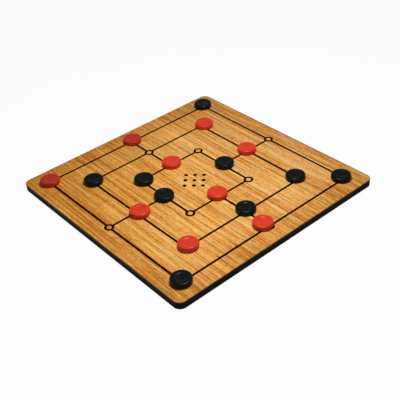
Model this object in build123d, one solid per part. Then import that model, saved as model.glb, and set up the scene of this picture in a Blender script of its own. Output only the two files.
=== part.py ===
from build123d import *
import os

# Nine men's morris set: a square veneered board with an ink-filled engraved grid, and eighteen loose men.
#
# Millimetres, +Z up. The origin is the centre of the board's underside. The board's sides run along X and Y,
# and the veneer's grain runs along X. Each named piece below is written to parts/NAME.step.

# Board, from the table up: a backing sheet, a core with a band glued round its edge, and the face veneer.
BOARD_SIDE = 300.0
BOARD_CORNER_RADIUS = 9.0
BACKING_THICKNESS = 0.4
CORE_THICKNESS = 8.0
VENEER_THICKNESS = 0.6
EDGE_BAND_THICKNESS = 1.0
ARRIS_RADIUS = 0.25  # sanded edge, round the top of the veneer and the bottom of the backing

# Grid: three squares, one inside another, joined at the middles of their sides, with a ring at each point.
GRID_MARGIN = 23.5  # from the board's edge to the centre of the outer square's line
OUTER_TO_MIDDLE_SQUARE = 37.5  # between the centres of the two squares' lines
INNER_SQUARE_SIDE = 92.0
LINE_WIDTH = 3.0
RING_DIAMETER = 12.0  # outside
RING_LINE_WIDTH = 3.0
ENGRAVING_DEPTH = 0.3
INK_RECESS = 0.05  # the ink stops this far below the veneer's face

# Centre ornament: a lozenge of dots, three by three.
DOTS_PER_SIDE = 3
DOT_DIAMETER = 5.0
DOT_PITCH = 11.0
LOZENGE_TURN = 45.0  # degrees

# Man: a moulded disc with a rounded rim and a dished middle, the same on both faces.
MAN_DIAMETER = 24.0
MAN_HEIGHT = 6.5
MAN_EDGE_RADIUS = 1.9
MAN_RIM_CREST_WIDTH = 3.5  # flat top of the rim, inside the rounded edge
MAN_RIM_SLOPE_WIDTH = 0.8  # from the crest down to the dish
MAN_DISH_DEPTH = 0.35
MAN_SLOPE_ROUNDING = 0.4

# Where the men stand: a point of the grid, as its square and its column and row in that square, and how far
# off the point the man has been put down.
OUTER, MIDDLE, INNER = range(3)
BLACK_MEN = [
    (OUTER, (-1, 1), (-0.5, -1.0)),
    (OUTER, (1, 1), (-3.0, -3.5)),
    (OUTER, (1, -1), (-1.0, 0.5)),
    (MIDDLE, (-1, -1), (3.0, 1.0)),
    (MIDDLE, (1, 0), (-1.5, 1.5)),
    (MIDDLE, (1, 1), (-4.5, -2.5)),
    (INNER, (-1, -1), (3.5, 2.0)),
    (INNER, (0, -1), (1.0, -1.5)),
    (INNER, (0, 1), (2.5, 1.0)),
]
RED_MEN = [
    (OUTER, (-1, -1), (2.0, 0.5)),
    (OUTER, (-1, 0), (1.0, 1.0)),
    (OUTER, (1, 0), (-6.5, -4.0)),
    (MIDDLE, (-1, 1), (3.0, 3.0)),
    (MIDDLE, (0, 1), (-0.5, -0.5)),
    (MIDDLE, (0, -1), (5.0, 2.5)),
    (MIDDLE, (1, -1), (-0.5, 4.0)),
    (INNER, (-1, 0), (0.0, 2.5)),
    (INNER, (1, 0), (-3.0, -1.5)),
]

# Worked out from the sizes above.
CORE_TOP = BACKING_THICKNESS + CORE_THICKNESS
BOARD_TOP = CORE_TOP + VENEER_THICKNESS
GROOVE_FLOOR = BOARD_TOP - ENGRAVING_DEPTH
CORE_SIDE = BOARD_SIDE - 2 * EDGE_BAND_THICKNESS
CORE_CORNER_RADIUS = BOARD_CORNER_RADIUS - EDGE_BAND_THICKNESS
OUTER_HALF = BOARD_SIDE / 2 - GRID_MARGIN
MIDDLE_HALF = OUTER_HALF - OUTER_TO_MIDDLE_SQUARE
INNER_HALF = INNER_SQUARE_SIDE / 2
HALVES = [OUTER_HALF, MIDDLE_HALF, INNER_HALF]
PLACES = [(column, row) for column in (-1, 0, 1) for row in (-1, 0, 1) if (column, row) != (0, 0)]


def point(square, column, row):
    """Where a point of the grid is, seen from above."""
    return HALVES[square] * column, HALVES[square] * row


def plate(bottom, thickness, side, corner_radius):
    """A flat square sheet with rounded corners."""
    return Pos(0, 0, bottom) * extrude(RectangleRounded(side, side, corner_radius), thickness)


def backing():
    sheet = plate(0, BACKING_THICKNESS, BOARD_SIDE, BOARD_CORNER_RADIUS)
    return fillet(sheet.edges().group_by(Axis.Z)[0], ARRIS_RADIUS)


def core():
    return plate(BACKING_THICKNESS, CORE_THICKNESS, CORE_SIDE, CORE_CORNER_RADIUS)


def edge_band():
    return plate(BACKING_THICKNESS, CORE_THICKNESS, BOARD_SIDE, BOARD_CORNER_RADIUS) - core()


def grid_outline():
    """The grid seen from above: lines that stop at the rings, and the rings."""
    outline = Sketch()
    for half in HALVES:
        outside = 2 * half + LINE_WIDTH
        inside = 2 * half - LINE_WIDTH
        outline += Rectangle(outside, outside) - Rectangle(inside, inside)
    spoke = Pos((OUTER_HALF + INNER_HALF) / 2, 0) * Rectangle(OUTER_HALF - INNER_HALF, LINE_WIDTH)
    outline += [Rot(0, 0, quarter * 90) * spoke for quarter in range(4)]
    disc = Circle(RING_DIAMETER / 2)
    ring = disc - Circle(RING_DIAMETER / 2 - RING_LINE_WIDTH)
    points = [Pos(*point(square, *place)) for square in (OUTER, MIDDLE, INNER) for place in PLACES]
    outline -= [spot * disc for spot in points]
    return outline + [spot * ring for spot in points]


def lozenge_outline():
    """The centre ornament seen from above."""
    lattice = GridLocations(DOT_PITCH, DOT_PITCH, DOTS_PER_SIDE, DOTS_PER_SIDE)
    dot = Circle(DOT_DIAMETER / 2)
    return Sketch() + [Rot(0, 0, LOZENGE_TURN) * place * dot for place in lattice]


def engraved(outline, depth):
    """What an engraved outline takes up, from the groove's floor up to this depth of it."""
    return Pos(0, 0, GROOVE_FLOOR) * extrude(outline, depth)


def veneer(*outlines):
    """The face veneer, with these outlines engraved in it."""
    sheet = plate(CORE_TOP, VENEER_THICKNESS, BOARD_SIDE, BOARD_CORNER_RADIUS)
    sheet = fillet(sheet.edges().group_by(Axis.Z)[-1], ARRIS_RADIUS)
    for outline in outlines:
        sheet -= engraved(outline, ENGRAVING_DEPTH)
    return sheet


def ink(outline):
    return engraved(outline, ENGRAVING_DEPTH - INK_RECESS)


def man():
    """One man, standing on Z = 0: half of its section, turned round Z."""
    radius = MAN_DIAMETER / 2
    crest_radius = radius - MAN_EDGE_RADIUS - MAN_RIM_CREST_WIDTH
    dish_radius = crest_radius - MAN_RIM_SLOPE_WIDTH
    dish_top = MAN_HEIGHT - MAN_DISH_DEPTH
    surface = FilletPolyline(
        (0, MAN_DISH_DEPTH),
        (dish_radius, MAN_DISH_DEPTH),
        (crest_radius, 0),
        (radius, 0),
        (radius, MAN_HEIGHT),
        (crest_radius, MAN_HEIGHT),
        (dish_radius, dish_top),
        (0, dish_top),
        radius=2 * [MAN_SLOPE_ROUNDING] + 2 * [MAN_EDGE_RADIUS] + 2 * [MAN_SLOPE_ROUNDING],
    )
    axis = Line((0, dish_top), (0, MAN_DISH_DEPTH))
    return revolve(Plane.XZ * make_face(surface + axis), Axis.Z)


def set_out(colour, stands):
    """One colour's men by name, each put down where it stands."""
    one = man()
    named = {}
    for number, (square, place, (off_x, off_y)) in enumerate(stands, start=1):
        x, y = point(square, *place)
        named[f"{colour}_man_{number}"] = Pos(x + off_x, y + off_y, BOARD_TOP) * one
    return named


def pieces():
    grid = grid_outline()
    lozenge = lozenge_outline()
    return {
        "backing_sheet": backing(),
        "board_core": core(),
        "edge_band": edge_band(),
        "face_veneer": veneer(grid, lozenge),
        "grid_ink": ink(grid),
        "lozenge_ink": ink(lozenge),
        **set_out("black", BLACK_MEN),
        **set_out("red", RED_MEN),
    }


os.makedirs("parts", exist_ok=True)
for name, solid in pieces().items():
    export_step(solid, f"parts/{name}.step")
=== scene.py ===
import math

import bpy
from mathutils import Matrix, Vector


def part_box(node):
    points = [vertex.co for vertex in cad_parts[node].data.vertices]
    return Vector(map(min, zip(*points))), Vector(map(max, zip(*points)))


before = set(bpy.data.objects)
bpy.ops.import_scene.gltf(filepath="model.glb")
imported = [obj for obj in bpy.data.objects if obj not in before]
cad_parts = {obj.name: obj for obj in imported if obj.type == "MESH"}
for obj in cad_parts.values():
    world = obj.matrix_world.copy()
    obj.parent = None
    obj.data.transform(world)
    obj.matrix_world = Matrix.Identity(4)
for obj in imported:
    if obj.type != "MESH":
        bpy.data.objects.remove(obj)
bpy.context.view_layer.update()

MM = 0.001  # lengths are in metres, unless a comment says millimetres

BOARD_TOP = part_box("face_veneer")[1].z
BOARD_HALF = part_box("face_veneer")[1].x
BOARD_CORNER_RADIUS = 9 * MM

# The camera looks at a point on the board's face.
CAMERA_TARGET = Vector((0.0350, -0.0217, BOARD_TOP))
CAMERA_AZIMUTH = 51.50  # degrees; 0 looks along +Y and 90 along -X
CAMERA_ELEVATION = 36.58  # degrees above the horizon
CAMERA_ROLL = -4.54  # degrees
CAMERA_DISTANCE = 0.8563
CAMERA_LENS = 66.35  # mm, on a 36 mm sensor

# Light: a softbox over the board, and a surround that is pale low down behind it.
SOFTBOX_PLACE = Vector((0.08, 0.02, 0.50))
SOFTBOX_DIAMETER = 0.14
SOFTBOX_POWER = 2.25  # watts
SURROUND_LOW = 0.50  # strength at the horizon, behind the board
SURROUND_NEAR = 0.12  # and on the camera's side
SURROUND_HIGH = 0.12  # and overhead
SURROUND_TURN = (-0.2, 0.7)  # from near to low, as the cosine of the angle to straight behind
SURROUND_FADE = (16.0, 32.0)  # from low to high, in degrees above the horizon

# The white floor, and the white backdrop that meets it at the horizon.
WHITE = (1.0, 1.0, 1.0, 1.0)
WHITENESS = 0.94  # of both, to the camera
BACKDROP_FADE = (4.0, 12.0)  # degrees above the horizon, over which gloss and glass lose it
FLOOR_COLOUR = (0.8, 0.8, 0.8, 1.0)
FLOOR_REACH = 8.0
FLOOR_DROP = 0.1 * MM  # below the board, so that the two faces don't coincide

# Colours, as linear red, green and blue. A pair is a material's main colour and its mottling.
WOOD_DARK = (0.43, 0.125, 0.004)
WOOD_MIDDLE = (0.74, 0.325, 0.058)
WOOD_LIGHT = (0.95, 0.56, 0.175)
WOOD_FLECK = (0.22, 0.075, 0.012)
WOOD_EDGE_DARK = (0.10, 0.045, 0.015)
WOOD_HONEY = (1.05, 0.99, 0.84)  # this and the next five tint the wood
WOOD_STRAW = (0.95, 1.01, 1.18)
WOOD_ROSY = (1.03, 0.96, 1.04)
WOOD_GREEN = (0.97, 1.04, 0.96)
# This tint and the next are a painted sheen: warm on the near side, and bluer towards +Y, where the
# lacquer would catch the light behind the board.
WOOD_UNSHEENED_TINT = (1.02, 0.98, 0.80)
WOOD_PAINTED_SHEEN_TINT = (0.98, 1.02, 1.20)
INK_COLOURS = ((0.0100, 0.0014, 0.0007), (0.0160, 0.0024, 0.0012))
EDGE_COLOURS = ((0.0130, 0.0118, 0.0108), (0.0260, 0.0238, 0.0218))
BACKING_COLOURS = ((0.016, 0.016, 0.017), (0.03, 0.03, 0.03))
CORE_COLOURS = ((0.30, 0.19, 0.10), (0.42, 0.29, 0.17))
RED_COLOURS = ((0.72, 0.044, 0.018), (0.66, 0.036, 0.014))
# Painted shade: the darker red of the two red men on the board's -X side, where the light falls
# off.
PAINTED_SHADE_RED_COLOURS = ((0.50, 0.036, 0.013), (0.44, 0.030, 0.011))
BLACK_COLOURS = ((0.0008, 0.0032, 0.0040), (0.0018, 0.0048, 0.0058))

# The wood's tone goes from 0, dark, to 1, light. These are its stops on the colour ramp.
WOOD_STOPS = [(0.1, WOOD_DARK), (0.5, WOOD_MIDDLE), (0.9, WOOD_LIGHT)]
# Painted shade: the face's tone falls from the inner tone to the rim tone within the rim width of
# its edges, where the light falls off.
WOOD_PAINTED_SHADE_RIM_TONE = 0.36
WOOD_INNER_TONE = 0.535
WOOD_PAINTED_SHADE_RIM_WIDTH = 45 * MM
# Painted light: the tone rises towards +X, most of all on the -Y side, and falls towards -X, where
# the light falls off.
WOOD_PAINTED_LIGHT_SLOPE = 0.40  # tone for each metre along X
WOOD_PAINTED_LIGHT_SLOPE_TURN = -2.5  # and how much that changes for each metre along Y
WOOD_WANDER = 5.0 * MM  # how far the grain strays sideways
WOOD_BAND = 9.0 * MM  # from one dark band to the next
WOOD_BAND_TONE = 0.04
WOOD_LAYERS = [
    # size along the grain, across it and down, in mm; shift; strength
    ((170, 38, 30), 11.7, 0.34),
    ((200, 2.8, 6), 4.9, 0.58),
    ((90, 1.5, 3), 7.7, 0.62),
    ((30, 1.0, 2), 2.3, 0.66),
    ((8, 0.8, 2), 6.1, 0.58),
    ((2.2, 0.9, 1), 9.4, 0.74),
]
# Painted sheen: the wood turns from the warm tint to the bluer one towards +Y.
WOOD_PAINTED_SHEEN_REACH = 0.17  # metres, mostly along Y, from the middle to the warmest or coolest tint
WOOD_PAINTED_SHEEN_LEAN = 0.3  # how much X counts in that
EDGE_DARK_FADE = (0.2 * MM, 1.4 * MM)  # from the edge: full within the first, gone at the second
EDGE_DARK_SHARE = 0.85
FLECK_RANGE = (0.68, 0.80)  # of a noise, from no fleck to a full one
FLECK_SHARE = 0.45
FLECK_DEPTH = 0.6  # of the height of the fibres
WOOD_ROUGHNESS = (0.40, 0.50)
WOOD_SHINE = 0.15
FIBRE_DEPTH = 0.02  # mm

# The speckled materials: the second colour's share is GRAIN * grain + MOTTLE * mottle + BASE.
SPECKLED_GRAIN = 0.8
SPECKLED_MOTTLE = 0.6
SPECKLED_BASE = -0.35
SPECKLED_UNEVENNESS = 0.06  # of the roughness, up and down
SPECKLED_SHINE = 0.006

# The men's plastic.
SWIRL_RANGE = (0.25, 0.75)  # of a noise, from the first colour to the second
SCUFF_RANGE = (0.35, 0.75)  # of a noise, from the smoothest to the roughest
MAN_ROUGHNESS = (0.29, 0.39)
PEEL_DEPTH = 0.012  # mm

NOISE_MIDDLE = (0.3, 0.7)  # most of a noise's values lie between these
NOISES = {
    # name: size along X, Y and Z, in mm; shift, which keeps one noise apart from the others
    "wander": ((260, 70, 60), 3.1),
    "hue": ((60, 5, 10), 5.2),
    "rosiness": ((10, 2.5, 4), 8.8),
    "fleck": ((9, 0.5, 1), 12.4),
    "fibre": ((18, 0.25, 1), 5.5),
    "lacquer": ((40, 8, 20), 9.2),
    "mottle": ((14, 14, 6), 7.9),
    "swirl": ((9, 9, 9), 3.3),
    "peel": ((1.6, 1.6, 1.6), 6.6),
    "scuff": ((0.5, 6, 3), 1.9),
}
SPECKLED_SHIFT = 2.2  # of the speckled materials' grain, whose size each of them sets


class Graph:
    """A material's or a world's nodes, with short calls that add a node and link what feeds it."""

    def __init__(self, owner):
        owner.use_nodes = True
        self.owner = owner
        self.tree = owner.node_tree
        self.tree.nodes.clear()
        self.coordinates = self.add("ShaderNodeTexCoord").outputs
        self.place = self.coordinates["Object"]

    def add(self, kind, feeds=None, **settings):
        """A node of this kind, with its settings, and its inputs fed by outputs or plain values."""
        node = self.tree.nodes.new(kind)
        for name, value in settings.items():
            setattr(node, name, value)
        for socket, value in (feeds or {}).items():
            if isinstance(value, bpy.types.NodeSocket):
                self.tree.links.new(value, node.inputs[socket])
            else:
                node.inputs[socket].default_value = value
        return node

    def maths(self, operation, first, second=0.0, third=0.0):
        feeds = {0: first, 1: second, 2: third}
        return self.add("ShaderNodeMath", feeds, operation=operation).outputs[0]

    def centred(self, noise, strength):
        """A noise of 0 to 1, turned into one of this strength about 0."""
        return self.maths("MULTIPLY_ADD", noise, strength, -0.5 * strength)

    def remap(self, value, low, high, new_low=0.0, new_high=1.0):
        """The value's stretch from low to high, eased into the new stretch."""
        feeds = {"Value": value, 1: low, 2: high, 3: new_low, 4: new_high}
        node = self.add("ShaderNodeMapRange", feeds, interpolation_type="SMOOTHSTEP")
        return node.outputs["Result"]

    def axes(self, place):
        return self.add("ShaderNodeSeparateXYZ", {"Vector": place}).outputs

    def stretched(self, place, size, shift):
        """Coordinates in which one unit is this size, a length along each axis in millimetres."""
        scale = [1 / (length * MM) for length in size]
        feeds = {"Vector": place, "Location": (shift, shift * 0.7, shift * 0.4), "Scale": scale}
        return self.add("ShaderNodeMapping", feeds).outputs["Vector"]

    def noise(self, size, shift, detail=0.0, place=None):
        """Noise whose features are about this size, in millimetres along each axis."""
        where = self.stretched(place or self.place, size, shift)
        feeds = {"Vector": where, "Scale": 1.0, "Detail": detail, "Roughness": 0.5}
        return self.add("ShaderNodeTexNoise", feeds).outputs["Fac"]

    def inset(self):
        """How far inside the board's rounded outline a point is, seen from above."""
        axes = self.axes(self.place)
        straight_half = BOARD_HALF - BOARD_CORNER_RADIUS
        beyond = [
            self.maths("SUBTRACT", self.maths("ABSOLUTE", axes[name]), straight_half)
            for name in "XY"
        ]
        clipped = {name: self.maths("MAXIMUM", b, 0.0) for name, b in zip("XY", beyond)}
        outside = self.add("ShaderNodeCombineXYZ", clipped).outputs[0]
        corner = self.add("ShaderNodeVectorMath", {0: outside}, operation="LENGTH").outputs["Value"]
        inside = self.maths("MINIMUM", self.maths("MAXIMUM", *beyond), 0.0)
        return self.maths("SUBTRACT", BOARD_CORNER_RADIUS, self.maths("ADD", corner, inside))

    def ramp(self, value, stops):
        """A colour ramp through stops of (position, colour)."""
        node = self.add("ShaderNodeValToRGB", {"Fac": value})
        elements = node.color_ramp.elements
        while len(elements) < len(stops):
            elements.new(0.5)
        for element, (position, colour) in zip(elements, stops):
            element.position = position
            element.color = (*colour, 1.0)
        return node.outputs["Color"]

    def mix(self, share, first, second, blend="MIX"):
        """The first colour, with this share of the second over it."""
        node = self.add("ShaderNodeMix", data_type="RGBA", blend_type=blend)
        for socket, value in zip((0, 6, 7), (share, first, second)):
            if isinstance(value, bpy.types.NodeSocket):
                self.tree.links.new(value, node.inputs[socket])
            else:
                node.inputs[socket].default_value = value if socket == 0 else (*value, 1.0)
        return node.outputs[2]

    def bump(self, height, depth):
        """A normal bumped by a height of 0 to 1, which is this deep in millimetres."""
        feeds = {"Strength": 1.0, "Distance": depth * MM, "Height": height}
        return self.add("ShaderNodeBump", feeds).outputs["Normal"]

    def finish(self, colour, roughness, shine, normal):
        """Ends the material in a Principled shader, and returns it."""
        feeds = {
            "Base Color": colour,
            "Roughness": roughness,
            "Specular IOR Level": shine,
            "Normal": normal,
        }
        shader = self.add("ShaderNodeBsdfPrincipled", feeds)
        self.add("ShaderNodeOutputMaterial", {"Surface": shader.outputs[0]})
        return self.owner


def new_material(name):
    return Graph(bpy.data.materials.new(name))


def veneer_tone(g, place, across, inset):
    """How light the wood is: broad painted shading, streaks of six sizes and soft bands."""
    # Painted light and shade: the face pales towards +X, most of all on its -Y side, and darkens a
    # little at its edges, where the light falls off.
    axes = g.axes(g.place)
    painted_falloff_slope = g.maths("MULTIPLY_ADD", axes["Y"], WOOD_PAINTED_LIGHT_SLOPE_TURN, WOOD_PAINTED_LIGHT_SLOPE)
    level = g.remap(inset, 0.0, WOOD_PAINTED_SHADE_RIM_WIDTH, WOOD_PAINTED_SHADE_RIM_TONE, WOOD_INNER_TONE)
    tone = g.maths("MULTIPLY_ADD", axes["X"], painted_falloff_slope, level)
    for size, shift, strength in WOOD_LAYERS:
        grain = g.noise(size, shift, place=place)
        tone = g.maths("ADD", g.centred(grain, strength), tone)
    # The bands run along the grain, as in wood laminated from narrow strips.
    wave = g.maths("SINE", g.maths("MULTIPLY", across, 2 * math.pi / WOOD_BAND))
    return g.maths("MULTIPLY_ADD", wave, WOOD_BAND_TONE, tone)


def veneer_tinted(g, colour, place):
    """The colour with honey and straw streaks, rosy and green ones, and a painted sheen: a slow
    turn to cool towards +Y.
    """
    axes = g.axes(g.place)
    hue = g.remap(g.noise(*NOISES["hue"], place=place), *NOISE_MIDDLE)
    rosiness = g.remap(g.noise(*NOISES["rosiness"], place=place), *NOISE_MIDDLE)
    # Painted sheen: bluer towards +Y, where the lacquer would catch the light behind the board.
    lean = g.maths("MULTIPLY_ADD", axes["X"], WOOD_PAINTED_SHEEN_LEAN, axes["Y"])
    painted_sheen = g.remap(lean, -WOOD_PAINTED_SHEEN_REACH, WOOD_PAINTED_SHEEN_REACH)
    tints = (
        (hue, WOOD_HONEY, WOOD_STRAW),
        (rosiness, WOOD_GREEN, WOOD_ROSY),
        (painted_sheen, WOOD_UNSHEENED_TINT, WOOD_PAINTED_SHEEN_TINT),
    )
    for share, first, second in tints:
        colour = g.mix(1.0, colour, g.mix(share, first, second), blend="MULTIPLY")
    return colour


def veneer_material():
    """Lacquered straight-grained veneer, its grain along X."""
    g = new_material("veneer_wood")
    # The grain wanders a little sideways along its length.
    axes = g.axes(g.place)
    across = g.maths("ADD", axes["Y"], g.centred(g.noise(*NOISES["wander"]), WOOD_WANDER))
    feeds = {"X": axes["X"], "Y": across, "Z": axes["Z"]}
    place = g.add("ShaderNodeCombineXYZ", feeds).outputs[0]

    inset = g.inset()
    colour = g.ramp(veneer_tone(g, place, across, inset), WOOD_STOPS)
    colour = veneer_tinted(g, colour, place)

    # The face darkens at its very edge.
    edge_darkening = g.remap(inset, *EDGE_DARK_FADE, EDGE_DARK_SHARE, 0.0)
    colour = g.mix(edge_darkening, colour, WOOD_EDGE_DARK)

    fleck = g.remap(g.noise(*NOISES["fleck"], place=place), *FLECK_RANGE)
    colour = g.mix(g.maths("MULTIPLY", fleck, FLECK_SHARE), colour, WOOD_FLECK)

    fibre = g.noise(*NOISES["fibre"], place=place)
    height = g.maths("SUBTRACT", fibre, g.maths("MULTIPLY", fleck, FLECK_DEPTH))
    lacquer = g.noise(*NOISES["lacquer"], detail=3.0)
    roughness = g.remap(lacquer, *NOISE_MIDDLE, *WOOD_ROUGHNESS)
    return g.finish(colour, roughness, WOOD_SHINE, normal=g.bump(height, FIBRE_DEPTH))


def speckled(name, colours, grain_size, roughness, pit_depth):
    """A plain material with a fine grain, soft mottling and a slightly uneven surface."""
    g = new_material(name)
    grain = g.noise((grain_size,) * 3, SPECKLED_SHIFT, detail=2.0)
    mottle = g.noise(*NOISES["mottle"], detail=3.0)
    share = g.maths("MULTIPLY_ADD", grain, SPECKLED_GRAIN, SPECKLED_BASE)
    share = g.maths("MULTIPLY_ADD", mottle, SPECKLED_MOTTLE, share)
    colour = g.mix(g.remap(share, 0.0, 1.0), *colours)
    smoothest, roughest = roughness - SPECKLED_UNEVENNESS, roughness + SPECKLED_UNEVENNESS
    uneven = g.remap(mottle, *NOISE_MIDDLE, smoothest, roughest)
    return g.finish(colour, uneven, SPECKLED_SHINE, normal=g.bump(grain, pit_depth))


def man_material(name, colours, shine):
    """Satin moulded plastic, with faint swirls of pigment and fine handling scratches."""
    g = new_material(name)
    swirl = g.noise(*NOISES["swirl"], detail=2.0)
    colour = g.mix(g.remap(swirl, *SWIRL_RANGE), *colours)
    peel = g.noise(*NOISES["peel"])
    scuff = g.noise(*NOISES["scuff"], detail=2.0)
    roughness = g.remap(scuff, *SCUFF_RANGE, *MAN_ROUGHNESS)
    return g.finish(colour, roughness, shine, normal=g.bump(peel, PEEL_DEPTH))


def paint():
    """Every CAD node takes its own finish, and the men take theirs by colour."""
    finishes = {"face_veneer": veneer_material()}
    plain = [
        # node, material, colours, grain size in mm, roughness, pit depth in mm
        ("grid_ink", "grid_ink", INK_COLOURS, 0.35, 0.5, 0.02),
        ("edge_band", "edge_band", EDGE_COLOURS, 0.5, 0.42, 0.015),
        ("backing_sheet", "backing", BACKING_COLOURS, 0.9, 0.6, 0.03),
        ("board_core", "fibreboard", CORE_COLOURS, 0.7, 0.85, 0.08),
    ]
    for name, *finish in plain:
        finishes[name] = speckled(*finish)
    finishes["lozenge_ink"] = finishes["grid_ink"]
    finishes["red"] = man_material("red_plastic", RED_COLOURS, shine=0.23)
    finishes["black"] = man_material("black_plastic", BLACK_COLOURS, shine=0.155)
    # Painted shade: two of the red men, on the board's -X side, take a darker, less shiny red,
    # where the light falls off.
    finishes["red_man_1"] = man_material("painted_shade_red_plastic", PAINTED_SHADE_RED_COLOURS, shine=0.17)
    finishes["red_man_2"] = finishes["red_man_1"]
    for name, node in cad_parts.items():
        node.material_slots[0].material = finishes.get(name) or finishes[name.split("_man_")[0]]


def softbox():
    """A round area lamp that faces the board's middle."""
    lamp = bpy.data.lights.new("softbox", "AREA")
    lamp.shape = "DISK"
    lamp.size = SOFTBOX_DIAMETER
    lamp.energy = SOFTBOX_POWER
    light = bpy.data.objects.new("softbox", lamp)
    light.rotation_mode = "QUATERNION"
    light.rotation_quaternion = (-SOFTBOX_PLACE).to_track_quat("-Z", "Y")
    light.location = SOFTBOX_PLACE
    bpy.context.scene.collection.objects.link(light)


def surround():
    """A world that is pale low down behind the board, and dim above and on the camera's side."""
    world = bpy.data.worlds.new("surround")
    bpy.context.scene.world = world
    g = Graph(world)

    def eased(along, low, high, new_low, new_high):
        """A strength that goes from new_low to new_high as the direction turns this way."""
        feeds = {0: g.coordinates["Generated"], 1: along}
        dot = g.add("ShaderNodeVectorMath", feeds, operation="DOT_PRODUCT").outputs["Value"]
        return g.remap(dot, low, high, new_low, new_high)

    def upwards(fade, new_low, new_high):
        low, high = (math.sin(math.radians(angle)) for angle in fade)
        return eased((0.0, 0.0, 1.0), low, high, new_low, new_high)

    azimuth = math.radians(CAMERA_AZIMUTH)
    behind = (-math.sin(azimuth), math.cos(azimuth), 0.0)
    horizon = eased(behind, *SURROUND_TURN, SURROUND_NEAR, SURROUND_LOW)
    dim = upwards(SURROUND_FADE, horizon, SURROUND_HIGH)
    # The camera sees a white backdrop, and so do gloss and glass, round the horizon.
    path = g.add("ShaderNodeLightPath").outputs
    seen = g.maths("MAXIMUM", path["Is Glossy Ray"], path["Is Transmission Ray"])
    seen = g.maths("MULTIPLY", seen, upwards(BACKDROP_FADE, 1.0, 0.0))
    seen = g.maths("MAXIMUM", seen, path["Is Camera Ray"])
    strength = g.add("ShaderNodeMix", {0: seen, 2: dim, 3: WHITENESS}).outputs[0]
    background = g.add("ShaderNodeBackground", {"Color": WHITE, "Strength": strength})
    g.add("ShaderNodeOutputWorld", {"Surface": background.outputs[0]})


def floor():
    """A pale floor that reads as white, keeps the object's shadow and is clear from below."""
    mesh = bpy.data.meshes.new("floor")
    ends = ((-1, -1), (1, -1), (1, 1), (-1, 1))
    corners = [(x * FLOOR_REACH, y * FLOOR_REACH, -FLOOR_DROP) for x, y in ends]
    mesh.from_pydata(corners, [], [(0, 1, 2, 3)])
    plane = bpy.data.objects.new("floor", mesh)
    bpy.context.scene.collection.objects.link(plane)
    g = new_material("floor_white")
    diffuse = g.add("ShaderNodeBsdfDiffuse", {"Color": FLOOR_COLOUR}).outputs[0]
    glow = g.add("ShaderNodeEmission", {"Color": WHITE, "Strength": 1.0}).outputs[0]
    path = g.add("ShaderNodeLightPath").outputs
    seen = path["Is Camera Ray"]
    for ray in ("Is Glossy Ray", "Is Transmission Ray"):
        seen = g.maths("MAXIMUM", seen, path[ray])
    share = g.maths("MULTIPLY", seen, WHITENESS)
    both = g.add("ShaderNodeMixShader", {0: share, 1: diffuse, 2: glow}).outputs[0]
    clear = g.add("ShaderNodeBsdfTransparent").outputs[0]
    below = g.add("ShaderNodeNewGeometry").outputs["Backfacing"]
    surface = g.add("ShaderNodeMixShader", {0: below, 1: both, 2: clear}).outputs[0]
    g.add("ShaderNodeOutputMaterial", {"Surface": surface})
    mesh.materials.append(g.owner)


def camera():
    """The camera of the photograph."""
    azimuth = math.radians(CAMERA_AZIMUTH)
    elevation = math.radians(CAMERA_ELEVATION)
    flat = math.cos(elevation)
    back = Vector((math.sin(azimuth) * flat, -math.cos(azimuth) * flat, math.sin(elevation)))
    level = (-back).to_track_quat("-Z", "Y").to_matrix()
    turn = level @ Matrix.Rotation(math.radians(CAMERA_ROLL), 3, "Z")
    data = bpy.data.cameras.new("camera")
    data.lens = CAMERA_LENS
    eye = bpy.data.objects.new("camera", data)
    eye.matrix_world = Matrix.Translation(CAMERA_TARGET + back * CAMERA_DISTANCE) @ turn.to_4x4()
    bpy.context.scene.collection.objects.link(eye)
    bpy.context.scene.camera = eye


camera()
surround()
softbox()
floor()
paint()
bpy.context.scene.view_settings.view_transform = "Standard"
